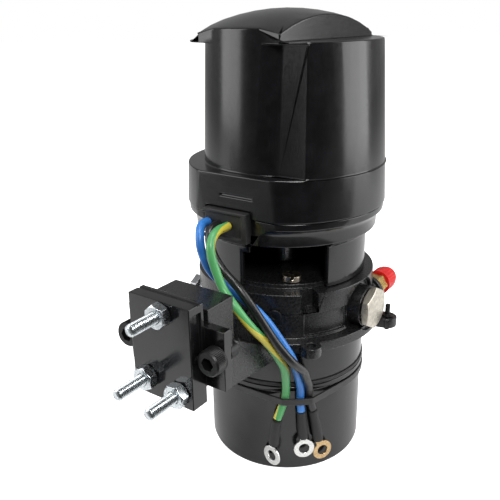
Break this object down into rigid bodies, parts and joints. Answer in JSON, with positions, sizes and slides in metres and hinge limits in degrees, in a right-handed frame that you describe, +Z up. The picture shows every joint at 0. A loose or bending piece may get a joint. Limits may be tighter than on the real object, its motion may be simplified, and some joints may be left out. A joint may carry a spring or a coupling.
{
  "type": "electro-hydraulic pump unit",
  "caption": "Electro-hydraulic pump unit: domed motor cover over a ported pump casting and oil reservoir, with a side bracket, studs and motor leads.",
  "frame": {"origin": "centre of the reservoir's flat bottom", "axes": "+Z up along the motor and pump shafts; -X out of the mounting bracket's face, along the studs; -Y out of the hexagonal filler plug"},
  "size_m": [0.1875, 0.1304, 0.2544],
  "materials": {
    "black_gloss_paint": "gloss black enamel, slight orange peel",
    "black_cover": "satin black moulded shell",
    "black_cast": "black enamel over a fine-grained casting",
    "rubber": "matt black moulded rubber",
    "zinc": "bright zinc plate",
    "steel": "turned steel",
    "black_oxide": "black oxide alloy steel",
    "nickel": "warm nickel plate",
    "brass": "turned brass",
    "red_plastic": "red moulded cap",
    "wire_blue": "blue insulation",
    "wire_green_yellow": "green insulation with a yellow stripe",
    "wire_black": "black insulation",
    "heat_shrink": "black heat-shrink sleeve",
    "tinned": "tin plate",
    "copper": "enamelled copper wire",
    "ferrite": "sintered ferrite",
    "carbon": "pressed carbon",
    "nylon": "black nylon"
  },
  "bodies": {
    "unit": {"reservoir": "black_gloss_paint", "reservoir_seal": "rubber", "reservoir_neck": "black_gloss_paint", "pump_manifold": "black_cast", "motor_base": "black_gloss_paint", "motor_cover": "black_cover", "wire_grommet": "rubber", "mounting_bracket": "black_gloss_paint", "cap_screw_front": "black_oxide", "cap_screw_rear": "black_oxide", "filler_plug": "zinc", "port_fitting_front": "brass", "port_fitting_rear": "brass", "port_cap_front": "red_plastic", "port_cap_rear": "red_plastic", "gallery_plug": "steel", "spool_end_plug": "steel", "ear_screw": "black_oxide", "cable_tie": "nylon", "wire_green_yellow": "wire_green_yellow", "wire_blue": "wire_blue", "wire_black": "wire_black", "sleeve_green_yellow": "heat_shrink", "sleeve_blue": "heat_shrink", "sleeve_black": "heat_shrink", "terminal_green_yellow": "tinned", "terminal_blue": "tinned", "terminal_black": "brass", "motor_can": "steel", "magnet_left": "ferrite", "magnet_right": "ferrite", "top_bearing": "steel", "bottom_bearing": "steel", "brush_plate": "nylon", "brush_left": "carbon", "brush_right": "carbon", "end_plate": "steel", "pickup_tube": "zinc", "inlet_filter": "steel", "stud_1": "zinc", "stud_nut_1": "zinc", "end_plate_bolt_1": "black_oxide", "stud_2": "zinc", "stud_nut_2": "zinc", "end_plate_bolt_2": "black_oxide", "stud_3": "zinc", "stud_nut_3": "zinc", "end_plate_bolt_3": "black_oxide"},
    "rotor": {"armature_shaft": "steel", "armature_core": "steel", "winding_upper": "copper", "winding_lower": "copper", "commutator": "copper", "drive_gear": "steel"},
    "idler": {"driven_gear": "steel"},
    "spool": {"shuttle_spool": "steel"},
    "release": {"release_valve": "nickel"}
  },
  "joints": [
    {"name": "rotor_spin", "type": "hinge", "parent": "unit", "child": "rotor", "pos_m": [0, 0, 0.18], "axis": [0, 0, 1], "continuous": true},
    {"name": "idler_spin", "type": "hinge", "parent": "unit", "child": "idler", "pos_m": [0.01395, 0, 0.088], "axis": [0, 0, 1], "continuous": true},
    {"name": "spool_shift", "type": "slide", "parent": "unit", "child": "spool", "axis": [0, 1, 0], "range_m": [-0.0025, 0.0025]},
    {"name": "release_turn", "type": "hinge", "parent": "unit", "child": "release", "pos_m": [-0.0285, -0.022, 0.118], "axis": [0, 0, 1], "range_deg": [0, 540]}
  ],
  "couplings": [
    {"joint": "idler_spin", "follows": "rotor_spin", "ratio": -1}
  ]
}
